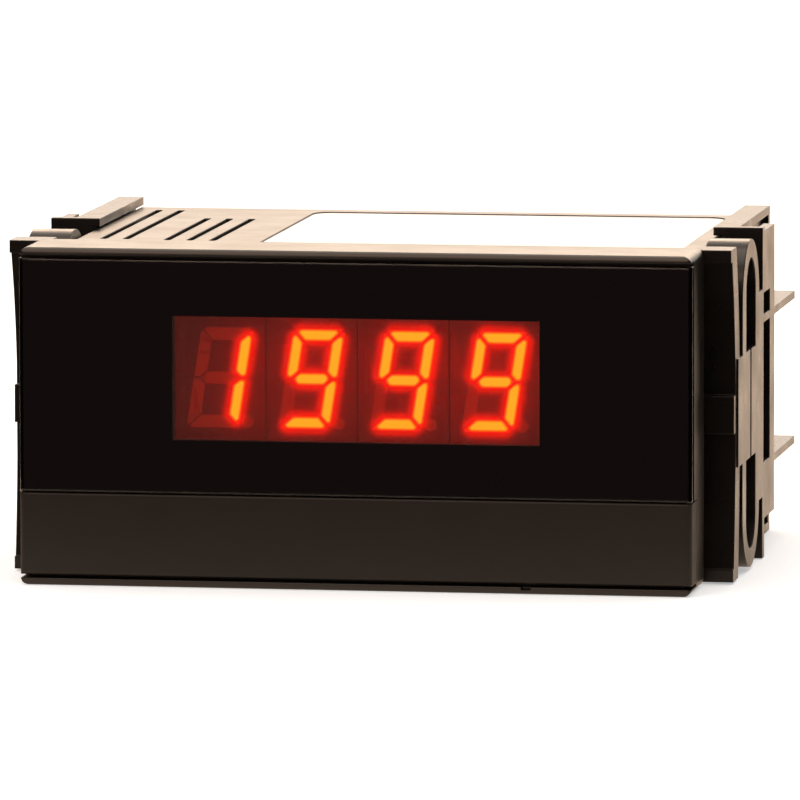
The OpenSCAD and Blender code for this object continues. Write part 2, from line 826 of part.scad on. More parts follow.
module terminal_clamps() color(steel) {
    for (i = [0:terminal_n - 1]) difference() {
        block([terminal_x(i) - clamp_w / 2, block_back, block_z - clamp_w / 2],
              [terminal_x(i) + clamp_w / 2, block_back + clamp_t, block_z + clamp_w / 2]);
        bar_along_y(terminal_x(i), block_z, block_back - 1, block_back + clamp_t + 1,
                    terminal_screw_dia + 2 * screw_clear);
    }
}

module terminal_screws() color(steel) {
    y0 = block_back + clamp_t;
    for (i = [0:terminal_n - 1]) difference() {
        union() {
            bar_along_y(terminal_x(i), block_z, block_back - terminal_screw_l + 0.5, y0 + eps,
                        terminal_screw_dia);
            bar_along_y(terminal_x(i), block_z, y0, y0 + terminal_head_h, terminal_head_dia);
        }
        for (a = [0, 90]) translate([terminal_x(i), y0 + terminal_head_h, block_z]) rotate([0, a, 0])
            cube([0.8, 2.4, terminal_head_dia * 0.6], center = true);
    }
}

module rear_cover() color(black) {
    difference() {
        along_y(rear_y, case_l) round_rect(rear_w, rear_h, case_r / 2);
        block([-block_w / 2 - block_clear, rear_y - 1, block_z - terminal_h / 2 - block_clear],
              [block_w / 2 + block_clear, case_l + 1, block_z + terminal_h / 2 + block_clear]);
        for (sx = [-1, 1], sz = [-1, 1])
            bar_along_y(sx * boss_x, sz * boss_z, rear_y - 1, case_l + 1, screw_dia + 0.4);
    }
}

module rear_screws() color(steel) {
    for (sx = [-1, 1], sz = [-1, 1])
        board_screw(sx * boss_x, sz * boss_z, case_l, screw_l + rear_t);
}

// ---- Side brackets ----

// Half of the bowed pressing bar: side 1 is the upper half, side -1 the lower
module bar_half(side, bow) {
    half = bar_h / 2;
    r = (half * half + bow * bow) / (2 * bow);
    intersection() {
        translate([bar_y - r, 0]) difference() {
            circle(r + bar_d);
            circle(r);
        }
        translate([bar_y - bow - bar_d, side > 0 ? 0 : -half]) square([2 * bar_d + bow, half]);
    }
    translate([bar_y - bow - foot_d, side > 0 ? half - foot_h : -half])
        square([foot_d + bar_d / 2, foot_h]);
}

module pressing_bar() {
    bar_half(1, bow_top);
    bar_half(-1, bow_bottom);
    translate([bar_y - pad_d, -pad_h / 2]) square([pad_d + 1, pad_h]);
}

// Two spring loops in one racetrack, parted by a web with a fine slit
module spring_loops() {
    outer_r = loop_d / 2;
    hole_r = loop_hole_d / 2;
    hole_end = loop_h / 2 - loop_end_t - hole_r;
    difference() {
        union() {
            for (s = [-1, 1]) translate([loop_c, s * (loop_h / 2 - outer_r)]) circle(outer_r);
            translate([loop_c, 0]) square([loop_d, loop_h - 2 * outer_r], center = true);
        }
        for (s = [0, 1]) translate([loop_c, 0]) mirror([0, s]) {
            translate([0, hole_end]) circle(hole_r);
            translate([-hole_r, web_h / 2]) square([loop_hole_d, hole_end - web_h / 2]);
        }
        translate([loop_c, 0]) square([slit_w, web_h + 1], center = true);
    }
}

// The webs that join the bar to the loops and the loops to the channel
module joining_webs() {
    translate([bar_y + 1, -web_h / 2]) square([loop_y - bar_y, web_h]);
    translate([loop_y + loop_d - 1, -rear_web_h / 2]) square([loop_gap + 2, rear_web_h]);
}

// Cross-section of the channel's front wall, with the case cut out of it
module channel_front() {
    z = channel_z + lip_t;
    difference() {
        translate([case_w / 2 - lip_reach, -z]) square([bracket_out - case_w / 2 + lip_reach, 2 * z]);
        translate([case_w / 2 - lip_reach - 1, -channel_z])
            square([bracket_x - case_w / 2 + lip_reach + 1, 2 * channel_z]);
    }
}

// The wall against the case side, with the latching tongue cut free in it
module channel_base() {
    difference() {
        block([bracket_x, channel_y, -channel_z - eps],
              [bracket_x + channel_t, channel_back, channel_z + eps]);
        for (s = [0, 1]) mirror([0, 0, s])
            block([bracket_x - 1, tongue_y, tongue_h / 2],
                  [bracket_x + channel_t + 1, tongue_y + tongue_l, tongue_h / 2 + tongue_slot]);
        block([bracket_x - 1, tongue_y + tongue_l - tongue_slot, -tongue_h / 2 - eps],
              [bracket_x + channel_t + 1, tongue_y + tongue_l, tongue_h / 2 + eps]);
    }
    tongue_end = tongue_y + tongue_l - tongue_slot;
    translate([0, 0, -tongue_h / 2]) linear_extrude(tongue_h)
        polygon([[bracket_x + eps, tongue_end - pawl_l], [bracket_x + eps, tongue_end],
                 [bracket_x - pawl_d, tongue_end]]);
    block([bracket_x + channel_t - eps, tongue_end - grip_l, -tongue_h / 2],
          [bracket_x + channel_t + grip_d, tongue_end, tongue_h / 2]);
}

// The front wall and the outer plate, with a window between the ribs and a slot above them
module channel_outside() {
    difference() {
        union() {
            along_y(channel_y, channel_y + front_wall_d) channel_front();
            block([bracket_out - plate_t, channel_y + eps, plate_bottom],
                  [bracket_out, channel_y + plate_l, plate_top]);
        }
        for (z = [[-rib_in, rib_in], [rib_out, rib_out + plate_slot_h]])
            block([bracket_out - plate_t - eps, plate_window_y, z[0]],
                  [bracket_out + 1, plate_window_y + plate_window_l, z[1]]);
    }
}

module bracket() {
    along_x(bracket_x, bar_out) pressing_bar();
    along_x(bracket_x, bracket_out) {
        spring_loops();
        joining_webs();
    }
    channel_outside();
    channel_base();
    for (s = [0, 1]) mirror([0, 0, s]) {
        block([case_w / 2 - lip_reach, channel_y, channel_z], [lip_out, channel_back, channel_z + lip_t]);
        block([bracket_x + eps, channel_back - end_wall_t, rib_span / 2],
              [lip_out - eps, channel_back - eps, channel_z + eps]);
        block([bracket_x + eps, channel_y + eps, rib_in], [bracket_out, channel_y + rib_l, rib_out]);
    }
}

module bracket_right() color(black) bracket();
module bracket_left() color(black) mirror([1, 0, 0]) bracket();

module top_label() color(label_white) {
    label_form(case_h / 2 - label_recess, label_t, 0);
}

housing();
front_lens();
lower_cover();
led_digit(0);  // led_digit_1
led_digit(1);  // led_digit_2
led_digit(2);  // led_digit_3
led_digit(3);  // led_digit_4
lit_segments(0);  // lit_segments_1
lit_segments(1);  // lit_segments_2
lit_segments(2);  // lit_segments_3
lit_segments(3);  // lit_segments_4
dark_segments(0);  // dark_segments_1
dark_segments(1);  // dark_segments_2
dark_segments(2);  // dark_segments_3
dark_segments(3);  // dark_segments_4
display_board();
display_board_screws();
trimmer_body(trimmer_xs[0]);  // zero_trimmer_body
trimmer_rotor(trimmer_xs[0]);  // zero_trimmer_rotor
trimmer_body(trimmer_xs[1]);  // span_trimmer_body
trimmer_rotor(trimmer_xs[1]);  // span_trimmer_rotor
main_board();
board_header();
converter_chip();
transformer_core();
transformer_winding();
smoothing_capacitors();
film_capacitors();
resistors();
voltage_regulator();
terminal_block();
terminal_legs();
terminal_clamps();
terminal_screws();
rear_cover();
rear_screws();
bracket_left();
bracket_right();
top_label();
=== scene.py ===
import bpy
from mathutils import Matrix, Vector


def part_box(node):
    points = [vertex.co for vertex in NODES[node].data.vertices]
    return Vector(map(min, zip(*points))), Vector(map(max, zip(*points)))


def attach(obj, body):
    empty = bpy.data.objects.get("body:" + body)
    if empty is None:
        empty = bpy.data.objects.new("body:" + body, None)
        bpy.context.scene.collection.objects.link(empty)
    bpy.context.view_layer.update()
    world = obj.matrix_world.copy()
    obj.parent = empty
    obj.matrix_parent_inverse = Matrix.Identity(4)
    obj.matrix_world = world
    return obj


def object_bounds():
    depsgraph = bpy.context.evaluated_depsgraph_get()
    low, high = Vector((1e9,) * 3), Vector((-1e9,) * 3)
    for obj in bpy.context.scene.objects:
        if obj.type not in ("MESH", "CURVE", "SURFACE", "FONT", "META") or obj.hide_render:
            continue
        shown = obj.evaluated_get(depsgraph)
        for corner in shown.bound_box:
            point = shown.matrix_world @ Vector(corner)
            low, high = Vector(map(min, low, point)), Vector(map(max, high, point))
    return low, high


bl_info = {
    "name": "Digital Panel Meter",
    "version": (1, 0, 0),
    "blender": (4, 5, 0),
    "location": "View3D > Sidebar > Panel Meter",
    "description": "Dresses a digital panel meter and sets its studio",
    "category": "Object",
}

import math

import bpy
from bpy.props import FloatProperty, FloatVectorProperty, PointerProperty
from mathutils import Euler, Vector
from mathutils.bvhtree import BVHTree
from mathutils.kdtree import KDTree

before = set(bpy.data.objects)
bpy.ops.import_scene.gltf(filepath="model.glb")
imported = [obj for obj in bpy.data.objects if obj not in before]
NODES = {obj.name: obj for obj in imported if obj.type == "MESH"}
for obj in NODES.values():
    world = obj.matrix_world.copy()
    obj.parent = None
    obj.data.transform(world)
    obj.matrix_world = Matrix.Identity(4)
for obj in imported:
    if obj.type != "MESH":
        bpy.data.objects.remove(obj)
CAD_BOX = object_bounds()
MM = 0.001
DIGITS = (1, 2, 3, 4)
# The floor lies this far below the meter, and the dark card over it this far above the meter's foot.
FLOOR_GAP = 0.02 * MM
CARD_LIFT = 0.1 * MM
# A point closer to a face than this lies on it.
ON_FACE = 1e-6
# How many of the discs in the lit bars are compared at each point of a film.
NEAREST = 16
# The film's light at a lit bar's edge, of 1 in its middle, and how abruptly it ends further out.
EDGE_GLOW = 0.6
HALO_FALL = 2.3
# The faint light that one lit point adds close by.
POINT_HAZE = 0.012


# ---------------------------------------------------------------- colours and nodes

def rgb(code):
    """Turns an sRGB hex colour into linear red, green and blue."""
    parts = [int(code[i:i + 2], 16) / 255 for i in (1, 3, 5)]
    return tuple(c / 12.92 if c <= 0.04045 else ((c + 0.055) / 1.055) ** 2.4 for c in parts)


def rgba(code):
    """Turns an sRGB hex colour into a linear one with full alpha."""
    return (*rgb(code), 1.0)


def add(tree, kind, inputs=None, **settings):
    """Adds a node with its settings. An input is given a value or another node's socket."""
    node = tree.nodes.new(kind)
    for name, value in settings.items():
        setattr(node, name, value)
    for name, value in (inputs or {}).items():
        if isinstance(value, bpy.types.NodeSocket):
            tree.links.new(value, node.inputs[name])
        else:
            node.inputs[name].default_value = value
    return node


def new_material(name, **sockets):
    """Starts a material with the shader's own sockets set, and returns it, its tree and its shader."""
    material = bpy.data.materials.new(name)
    material.use_nodes = True
    tree = material.node_tree
    shader = tree.nodes["Principled BSDF"]
    for socket, value in sockets.items():
        shader.inputs[socket.replace("_", " ")].default_value = value
    return material, tree, shader


def place(tree):
    """The place on the object, which sits unturned at the origin."""
    return add(tree, "ShaderNodeTexCoord").outputs["Object"]


def soft_edges(tree, radius_mm):
    """Rounds the sharp edges of a moulding by its tool radius."""
    return add(tree, "ShaderNodeBevel", {"Radius": radius_mm * MM}, samples=6).outputs["Normal"]


def grain(tree, size_mm, depth_mm, detail=2.0, normal=None):
    """A fine surface grain of the given width and depth, as a normal."""
    noise = add(tree, "ShaderNodeTexNoise",
                {"Vector": place(tree), "Scale": 1 / (size_mm * MM), "Detail": detail})
    inputs = {"Height": noise.outputs["Fac"], "Distance": depth_mm * MM, "Strength": 1.0}
    if normal is not None:
        inputs["Normal"] = normal
    return add(tree, "ShaderNodeBump", inputs).outputs["Normal"]


def mottle(tree, size_mm, low, high, detail=3.0):
    """A slow variation between two values over the surface."""
    noise = add(tree, "ShaderNodeTexNoise",
                {"Vector": place(tree), "Scale": 1 / (size_mm * MM), "Detail": detail})
    spread = add(tree, "ShaderNodeMapRange",
                 {"Value": noise.outputs["Fac"], "From Min": 0.3, "From Max": 0.7,
                  "To Min": low, "To Max": high})
    return spread.outputs["Result"]


def two_tone(tree, factor, first, second):
    """Mixes two linear colours by a factor."""
    return add(tree, "ShaderNodeMix", {0: factor, 6: first, 7: second}, data_type="RGBA").outputs[2]


def seen_by(tree, *rays):
    """1 to the named kinds of ray and 0 to all others."""
    path = add(tree, "ShaderNodeLightPath")
    seen = path.outputs[f"Is {rays[0]} Ray"]
    for ray in rays[1:]:
        other = path.outputs[f"Is {ray} Ray"]
        seen = add(tree, "ShaderNodeMath", {0: seen, 1: other}, operation="MAXIMUM").outputs[0]
    return seen


def ease(share):
    """A smooth step from 0 to 1."""
    share = min(max(share, 0), 1)
    return share * share * (3 - 2 * share)


# ---------------------------------------------------------------- properties

def colour(name, text, default):
    """A colour setting with its default as an sRGB hex colour."""
    return FloatVectorProperty(name=name, description=text, default=rgb(default),
                               subtype="COLOR", size=3, min=0.0, max=1.0)


def length(name, text, default_mm):
    """A length setting with its default in millimetres."""
    return FloatProperty(name=name, description=text, default=default_mm * MM,
                         unit="LENGTH", precision=5, min=0.0)


class MeterColours(bpy.types.PropertyGroup):
    """Colours that a user would change."""
    case: colour("Case", "Black ABS of the bezel and the case", "#16110d")
    cover: colour("Lower cover", "Satin ABS of the pull-off cover", "#120d0a")
    bracket: colour("Bracket", "Black acetal of the side brackets", "#0c0907")
    lens: colour("Lens", "Tint of the smoked acrylic", "#8f7a76")
    module: colour("Digit block", "Filled epoxy of the digit blocks", "#4a130c")
    lamp: colour("Lit segment", "Colour of a lit segment's middle", "#ffb01f")
    halo: colour("Halo", "Colour of the light round a lit segment", "#f01500")
    label: colour("Label", "Matt white label on the case", "#f4f3f1")


class MeterSizes(bpy.types.PropertyGroup):
    """Sizes of the fine detail that a user would change."""
    edge: length("Edge radius", "Radius on the mouldings' edges", 0.3)
    grain: length("Grain width", "Width of the moulded grain", 0.32)
    # The film is a thin sheet over each digit that carries painted light, the glow round the lit bars.
    film_step: length("Film step", "Spacing of the diffusing film's mesh", 0.2)
    film: length("Film thickness", "Thickness of the diffusing film on each digit", 0.04)
    blend: length("Blend", "Width over which red turns to the lamp's colour", 0.44)
    tip_r: length("Tip radius", "Smallest radius of a lit bar's ends", 0.4)
    halo: length("Halo reach", "Reach of the bright halo round a lit segment", 0.76)
    haze: length("Haze reach", "Reach of the faint light that fills a digit block", 2.4)


class MeterStudio(bpy.types.PropertyGroup):
    """The view and the light."""
    azimuth: FloatProperty(name="Azimuth", description="Camera's turn towards +X", default=9.77)
    elevation: FloatProperty(name="Elevation", description="Camera's height in degrees", default=6.54)
    roll: FloatProperty(name="Roll", description="Camera's turn about its own axis", default=-0.11)
    lens_mm: FloatProperty(name="Lens", description="Camera's focal length in mm", default=496.7)
    distance: length("Distance", "From the camera to the middle of the bezel's face", 1552)
    right: length("Aim right", "How far right of the bezel's middle the camera aims", 6.52)
    up: length("Aim up", "How far above the bezel's middle the camera aims", 3.05)


def settings(context):
    """The scene's colours, sizes and studio settings."""
    scene = context.scene
    return scene.meter_colours, scene.meter_sizes, scene.meter_studio


# ---------------------------------------------------------------- small modelling helpers

def start_piece():
    """Deselects everything, because an operator acts on all that is selected."""
    if bpy.context.object and bpy.context.object.mode != "OBJECT":
        bpy.ops.object.mode_set(mode="OBJECT")
    bpy.ops.object.select_all(action="DESELECT")


def apply_place(obj):
    """Puts an object's place, turn and scale into its mesh."""
    start_piece()
    obj.select_set(True)
    bpy.context.view_layer.objects.active = obj
    bpy.ops.object.transform_apply(location=True, rotation=True, scale=True)


def finish_piece(obj, name, material, body):
    """Names a new piece, gives it its material and makes it ride on a body."""
    obj.name = name
    obj.data.materials.clear()
    obj.data.materials.append(material)
    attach(obj, body)


def dress(material, *names):
    """Gives CAD nodes a finished material in their own slots."""
    for name in names:
        for slot in NODES[name].material_slots:
            slot.material = material


# ---------------------------------------------------------------- materials

def moulded_abs(colours, sizes):
    """Moulded ABS: near-black with a fine eroded grain that goes pale where light grazes it."""
    material, tree, shader = new_material("moulded_black_abs", IOR=1.53)
    shader.inputs["Base Color"].default_value = (*colours.case, 1.0)
    edges = soft_edges(tree, sizes.edge / MM)
    tree.links.new(grain(tree, sizes.grain / MM, 0.003, normal=edges), shader.inputs["Normal"])
    tree.links.new(mottle(tree, 9, 0.30, 0.38), shader.inputs["Roughness"])
    return material


def satin_abs(colours, sizes):
    """Sparked ABS: a touch paler and rougher than the bezel, so it reads as a grey-brown strip."""
    material, tree, shader = new_material("sparked_satin_abs", IOR=1.53, Specular_IOR_Level=0.42)
    shader.inputs["Base Color"].default_value = (*colours.cover, 1.0)
    edges = soft_edges(tree, sizes.edge / MM)
    tree.links.new(grain(tree, sizes.grain / MM * 1.2, 0.010, normal=edges), shader.inputs["Normal"])
    tree.links.new(mottle(tree, 6, 0.48, 0.56), shader.inputs["Roughness"])
    return material


def moulded_acetal(colours, sizes):
    """Moulded acetal: black and slightly waxy, with sharp light along its thin edges."""
    material, tree, shader = new_material("moulded_black_acetal", IOR=1.48, Specular_IOR_Level=0.35)
    shader.inputs["Base Color"].default_value = (*colours.bracket, 1.0)
    edges = soft_edges(tree, sizes.edge / MM)
    tree.links.new(grain(tree, 0.5, 0.0012, normal=edges), shader.inputs["Normal"])
    tree.links.new(mottle(tree, 7, 0.24, 0.34), shader.inputs["Roughness"])
    return material


def smoked_acrylic(colours):
    """Polished smoked acrylic: almost black, it lets the figures through and mirrors softly."""
    material, tree, shader = new_material("polished_smoked_acrylic", IOR=1.49, Roughness=0.03,
                                          Transmission_Weight=1.0)
    shader.inputs["Base Color"].default_value = (*colours.lens, 1.0)
    tree.links.new(soft_edges(tree, 0.5), shader.inputs["Normal"])
    return material


def filled_epoxy(colours):
    """Red-filled epoxy: the face of a digit block, with a faint painted red glow for its segments' light
    spreading through it.
    """
    material, tree, shader = new_material("red_filled_epoxy_painted_glow", IOR=1.54, Roughness=0.5)
    shader.inputs["Base Color"].default_value = (*colours.module, 1.0)
    # Painted glow: a faint red emission stands in for the segments' light spreading through the block.
    shader.inputs["Emission Color"].default_value = rgba("#c01004")
    shader.inputs["Emission Strength"].default_value = 0.35
    tree.links.new(grain(tree, 0.25, 0.004), shader.inputs["Normal"])
    return material


def unlit_epoxy():
    """Diffused epoxy, unlit: a segment a shade paler than the block round it, with a painted red glow
    though it is not lit.
    """
    material, tree, shader = new_material("diffused_epoxy_unlit_painted_glow", IOR=1.54, Roughness=0.45)
    shader.inputs["Base Color"].default_value = rgba("#7a2a1e")
    # Painted glow: a red emission on a segment that is not lit.
    shader.inputs["Emission Color"].default_value = rgba("#d82a12")
    shader.inputs["Emission Strength"].default_value = 0.85
    tree.links.new(grain(tree, 0.25, 0.004), shader.inputs["Normal"])
    return material


def lit_epoxy(colours):
    """Diffused epoxy, lit: red by itself, since the amber of its middle is in the film over it."""
    material, tree, shader = new_material("diffused_epoxy_lit", IOR=1.54, Roughness=0.4)
    shader.inputs["Base Color"].default_value = (*colours.lamp, 1.0)
    shader.inputs["Emission Color"].default_value = (*colours.halo, 1.0)
    shader.inputs["Emission Strength"].default_value = 1.5
    return material


def painted_glow_film(colours):
    """A sheet of painted light: the lamp's amber over a lit bar, a painted bright red halo round it, and
    clear further out.
    """
    material, tree, shader = new_material("red_painted_glow_film", IOR=1.5, Roughness=0.6,
                                          Emission_Strength=5.0)
    shader.inputs["Base Color"].default_value = rgba("#400800")
    # The attributes hold painted light: glow is the halo's strength, and core turns it to the lamp's amber
    # over a bar.
    core = add(tree, "ShaderNodeAttribute", attribute_name="core")
    light = two_tone(tree, core.outputs["Fac"], (*colours.halo, 1.0), (*colours.lamp, 1.0))
    tree.links.new(light, shader.inputs["Emission Color"])
    glow = add(tree, "ShaderNodeAttribute", attribute_name="glow")
    tree.links.new(glow.outputs["Fac"], shader.inputs["Alpha"])
    return material


def label_film(colours):
    """Matt white polyester label: even and bright, with a faint paper tooth."""
    material, tree, shader = new_material("matt_white_polyester", IOR=1.5, Roughness=0.55)
    shader.inputs["Base Color"].default_value = (*colours.label, 1.0)
    tree.links.new(grain(tree, 0.4, 0.002), shader.inputs["Normal"])
    return material


def metal(name, code, low, high):
    """A plated metal with faint handling marks in its roughness."""
    material, tree, shader = new_material(name, Metallic=1.0)
    shader.inputs["Base Color"].default_value = rgba(code)
    tree.links.new(mottle(tree, 1.5, low, high), shader.inputs["Roughness"])
    tree.links.new(grain(tree, 0.15, 0.002, normal=soft_edges(tree, 0.1)), shader.inputs["Normal"])
    return material


def plain_moulding(name, code, low, high, grain_mm=0.3):
    """A small moulded or dipped part: one colour, a soft mottle and rounded edges."""
    material, tree, shader = new_material(name, IOR=1.53)
    shader.inputs["Base Color"].default_value = rgba(code)
    tree.links.new(mottle(tree, 3, low, high), shader.inputs["Roughness"])
    tree.links.new(grain(tree, grain_mm, 0.004, normal=soft_edges(tree, 0.15)), shader.inputs["Normal"])
    return material


def laminate():
    """Glass-epoxy laminate: green resist, a shade paler over its copper tracks."""
    material, tree, shader = new_material("green_glass_epoxy_laminate", IOR=1.55, Roughness=0.3)
    brick = add(tree, "ShaderNodeTexBrick",
                {"Vector": place(tree), "Scale": 1 / (20 * MM), "Mortar Size": 0.03, "Brick Width": 0.5,
                 "Row Height": 0.25, "Color1": rgba("#0d4a27"), "Color2": rgba("#0f522c"),
                 "Mortar": rgba("#1c7040")})
    tree.links.new(brick.outputs["Color"], shader.inputs["Base Color"])
    tree.links.new(grain(tree, 0.5, 0.004, normal=soft_edges(tree, 0.1)), shader.inputs["Normal"])
    return material


def banded(name, first, second, axis, pitch_mm, width, roughness):
    """Even bands across one axis, such as laminations, tape turns or a resistor's rings."""
    material, tree, shader = new_material(name, Roughness=roughness, IOR=1.5)
    parts = add(tree, "ShaderNodeSeparateXYZ", {"Vector": place(tree)})
    step = add(tree, "ShaderNodeMath", {0: parts.outputs[axis], 1: pitch_mm * MM}, operation="PINGPONG")
    edge = add(tree, "ShaderNodeMath", {0: step.outputs[0], 1: pitch_mm * MM * width},
               operation="LESS_THAN")
    tone = two_tone(tree, edge.outputs[0], rgba(first), rgba(second))
    tree.links.new(tone, shader.inputs["Base Color"])
    bump = add(tree, "ShaderNodeBump", {"Height": step.outputs[0], "Strength": 0.5})
    tree.links.new(bump.outputs["Normal"], shader.inputs["Normal"])
    return material


# ---------------------------------------------------------------- operators

class METER_OT_stage(bpy.types.Operator):
    """Sets the world, the floor, the lamps, the cards and the camera"""
    bl_idname = "meter.stage"
    bl_label = "Stage"

    def execute(self, context):
        self.world()
        self.floor()
        self.lamps()
        self.cards()
        self.camera(settings(context)[2])
        return {"FINISHED"}

    def world(self):
        """White to the camera, to reflections and through the lens; softer on matt surfaces."""
        world = bpy.data.worlds.new("studio")
        bpy.context.scene.world = world
        world.use_nodes = True
        tree = world.node_tree
        seen = seen_by(tree, "Camera", "Glossy", "Transmission")
        level = add(tree, "ShaderNodeMapRange", {"Value": seen, "To Min": 0.55, "To Max": 1.0})
        background = tree.nodes["Background"]
        background.inputs["Color"].default_value = rgba("#ffffff")
        tree.links.new(level.outputs["Result"], background.inputs["Strength"])

    def floor(self):
        """Paper that is white to the camera and in reflections, and throws a warm light on the meter."""
        start_piece()
        bpy.ops.mesh.primitive_plane_add(size=30, location=(0, 0, CAD_BOX[0].z - FLOOR_GAP))
        floor = bpy.context.object
        floor.name = "floor"
        material, tree, shader = new_material("matt_white_paper", Roughness=0.9, Specular_IOR_Level=0.0)
        paper = two_tone(tree, seen_by(tree, "Camera"), rgba("#f9e2cb"), rgba("#ffffff"))
        tree.links.new(paper, shader.inputs["Base Color"])
        tree.links.new(paper, shader.inputs["Emission Color"])
        seen = seen_by(tree, "Camera", "Glossy")
        lift = add(tree, "ShaderNodeMath", {0: seen, 1: 0.4}, operation="MULTIPLY")
        tree.links.new(lift.outputs[0], shader.inputs["Emission Strength"])
        floor.data.materials.append(material)

    def lamp(self, name, place_mm, target_mm, size_mm, watts, tint):
        """A softbox at a place, turned to a target."""
        data = bpy.data.lights.new(name, "AREA")
        data.shape = "RECTANGLE"
        data.size, data.size_y = (s * MM for s in size_mm)
        data.energy = watts
        data.color = rgb(tint)
        lamp = bpy.data.objects.new(name, data)
        bpy.context.scene.collection.objects.link(lamp)
        lamp.location = Vector(place_mm) * MM
        aim = (Vector(target_mm) - Vector(place_mm)).to_track_quat("-Z", "Y")
        lamp.rotation_euler = aim.to_euler()

    def lamps(self):
        """A large softbox above, a warmer one behind and a weak fill from the front left."""
        self.lamp("overhead_softbox", (0, 150, 900), (0, 20, 0), (900, 700), 4.2, "#fff0e2")
        self.lamp("rear_softbox", (-100, 1100, 420), (0, 0, 10), (900, 300), 4.5, "#ffdcba")
        self.lamp("front_fill", (-500, -900, 500), (0, 0, 0), (500, 400), 2.2, "#ffe2c8")

    def card(self, name, tint, level, place_mm, turn, size_mm):
        """A glowing card that only reflections see, and that throws no shadow."""
        material, tree, shader = new_material(name, Specular_IOR_Level=0.0, Emission_Strength=level)
        shader.inputs["Base Color"].default_value = rgba("#000000")
        shader.inputs["Emission Color"].default_value = rgba(tint)
        start_piece()
        bpy.ops.mesh.primitive_plane_add(size=1, location=Vector(place_mm) * MM,
                                         rotation=[math.radians(a) for a in turn])
        card = bpy.context.object
        card.scale = (size_mm[0] * MM, size_mm[1] * MM, 1)
        card.name = name
        card.data.materials.append(material)
        card.visible_camera = card.visible_diffuse = False
        card.visible_transmission = card.visible_shadow = False

    def cards(self):
        """Dim cards in front and at the sides keep the meter black; bright ones light its edges and top."""
        floor_z = (CAD_BOX[0].z + CARD_LIFT) / MM
        self.card("front_card", "#ffd6cc", 0.15, (0, -90, 18), (90, 0, 0), (900, 84))
        self.card("edge_card", "#ffdcc4", 2.6, (60, -90, 130), (90, 0, 0), (700, 130))
        self.card("floor_card", "#ffd6cc", 0.05, (0, -62, floor_z), (0, 0, 0), (900, 56))
        self.card("left_card", "#ffd6cc", 0.02, (-110, -60, 60), (90, 0, 90), (400, 200))
        self.card("side_card", "#ffd6cc", 0.005, (110, -60, 60), (90, 0, 90), (400, 200))
        self.card("right_card", "#ffd6cc", 0.02, (150, 160, 90), (90, 0, 70), (420, 230))
        self.card("ceiling_card", "#ffe2c6", 0.8, (0, 0, 1600), (0, 0, 0), (6000, 6000))
        self.card("warm_card", "#fff6ec", 1.2, (0, 1500, 700), (90, 0, 0), (5000, 1600))

    def camera(self, studio):
        """A long lens, set by its turn and height round the middle of the bezel's face."""
        turn, tilt = math.radians(studio.azimuth), math.radians(studio.elevation)
        back = Vector((math.sin(turn) * math.cos(tilt), -math.cos(turn) * math.cos(tilt), math.sin(tilt)))
        right = Vector((math.cos(turn), math.sin(turn), 0))
        up = right.cross(-back)
        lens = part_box("front_lens")[0]
        middle = Vector((0, lens.y, 0))
        data = bpy.data.cameras.new("view")
        data.lens = studio.lens_mm
        data.sensor_width = 36
        data.clip_end = 100
        camera = bpy.data.objects.new("view", data)
        bpy.context.scene.collection.objects.link(camera)
        camera.location = middle + back * studio.distance
        aim = middle + right * studio.right + up * studio.up
        facing = (aim - camera.location).to_track_quat("-Z", "Y")
        roll = Euler((0, 0, math.radians(studio.roll))).to_quaternion()
        camera.rotation_euler = (facing @ roll).to_euler()
        bpy.context.scene.camera = camera


class METER_OT_front(bpy.types.Operator):
    """Finishes the bezel and case, the lens and the lower cover"""
    bl_idname = "meter.front"
    bl_label = "Bezel, Lens and Cover"

    def execute(self, context):
        colours, sizes = settings(context)[:2]
        dress(moulded_abs(colours, sizes), "housing", "rear_cover")
        dress(satin_abs(colours, sizes), "lower_cover")
        dress(smoked_acrylic(colours), "front_lens")
        dress(label_film(colours), "top_label")
        return {"FINISHED"}


